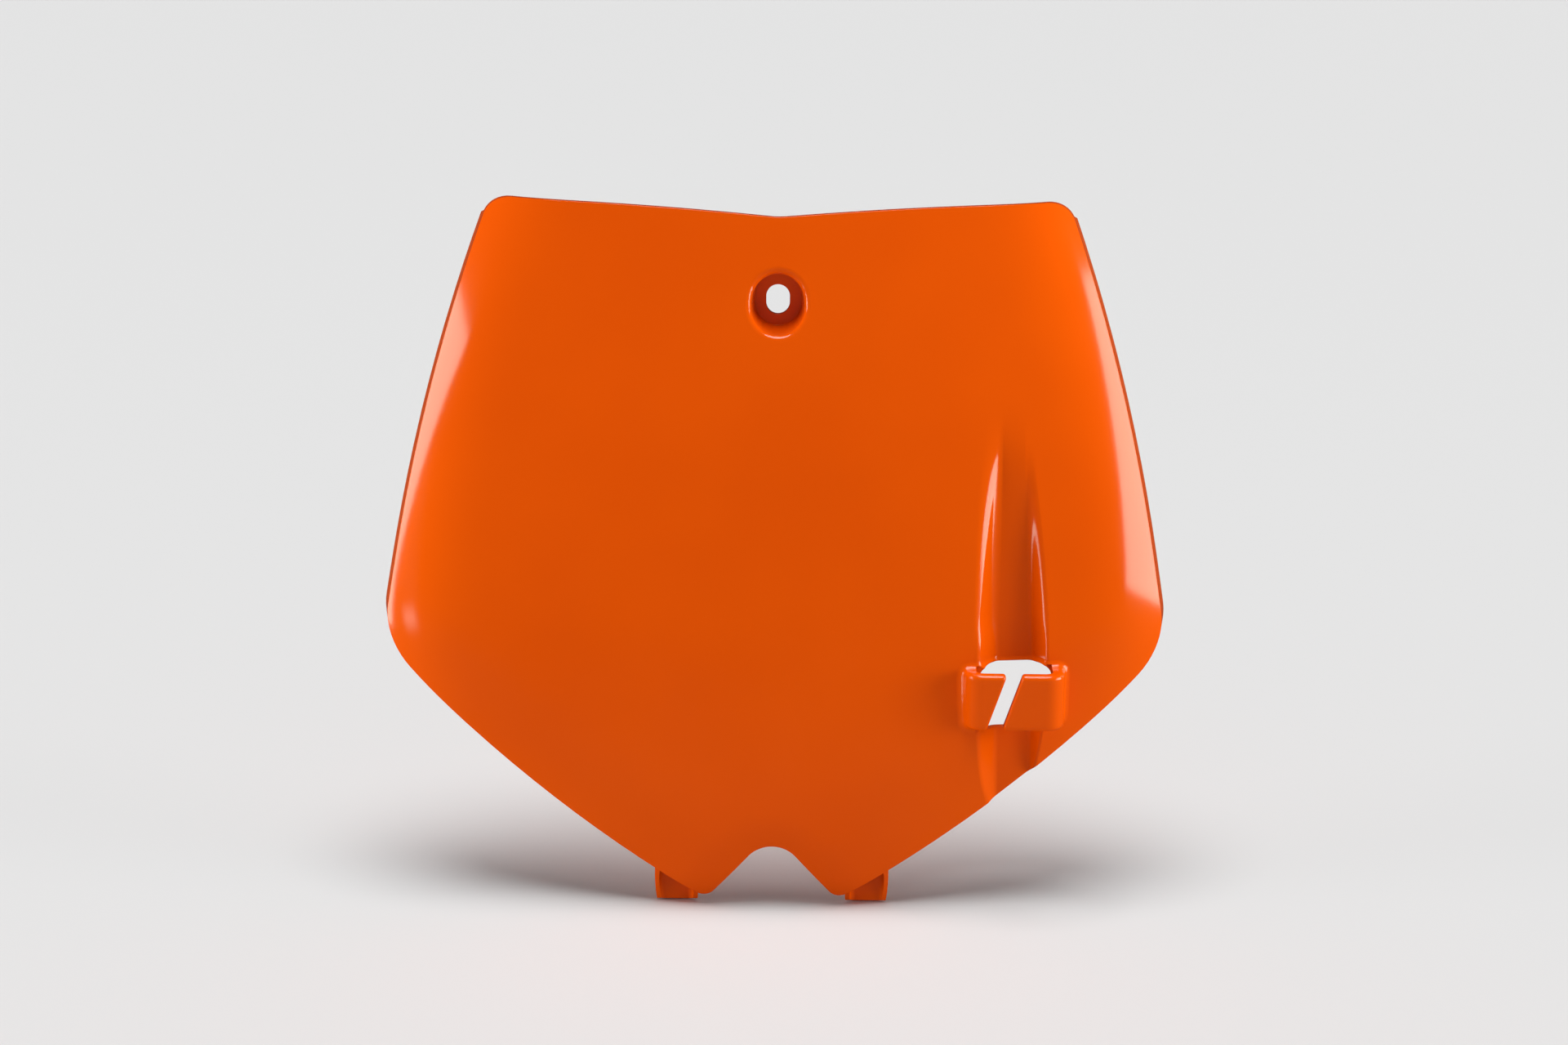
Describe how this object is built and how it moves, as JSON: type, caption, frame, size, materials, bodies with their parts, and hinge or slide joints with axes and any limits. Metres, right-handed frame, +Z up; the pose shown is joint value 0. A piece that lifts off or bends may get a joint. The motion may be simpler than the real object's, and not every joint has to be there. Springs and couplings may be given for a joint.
{
  "type": "racing number board",
  "caption": "Front number board of an off-road racing motorcycle: a crowned shell moulded in orange plastic with a screw pocket, a hose guide and bottom holding lugs.",
  "frame": {"origin": "middle of the screw slot, on the seat at the back of the screw pocket", "axes": "+Z up, the board faces -Y, +X to the right of someone looking at it; the screw axis is Y"},
  "size_m": [0.258, 0.0718, 0.2251],
  "materials": {
    "orange_plastic": "moulded polypropylene, coloured through, gloss from the mould"
  },
  "bodies": {
    "root": {"number_board": "orange_plastic"}
  },
  "joints": []
}
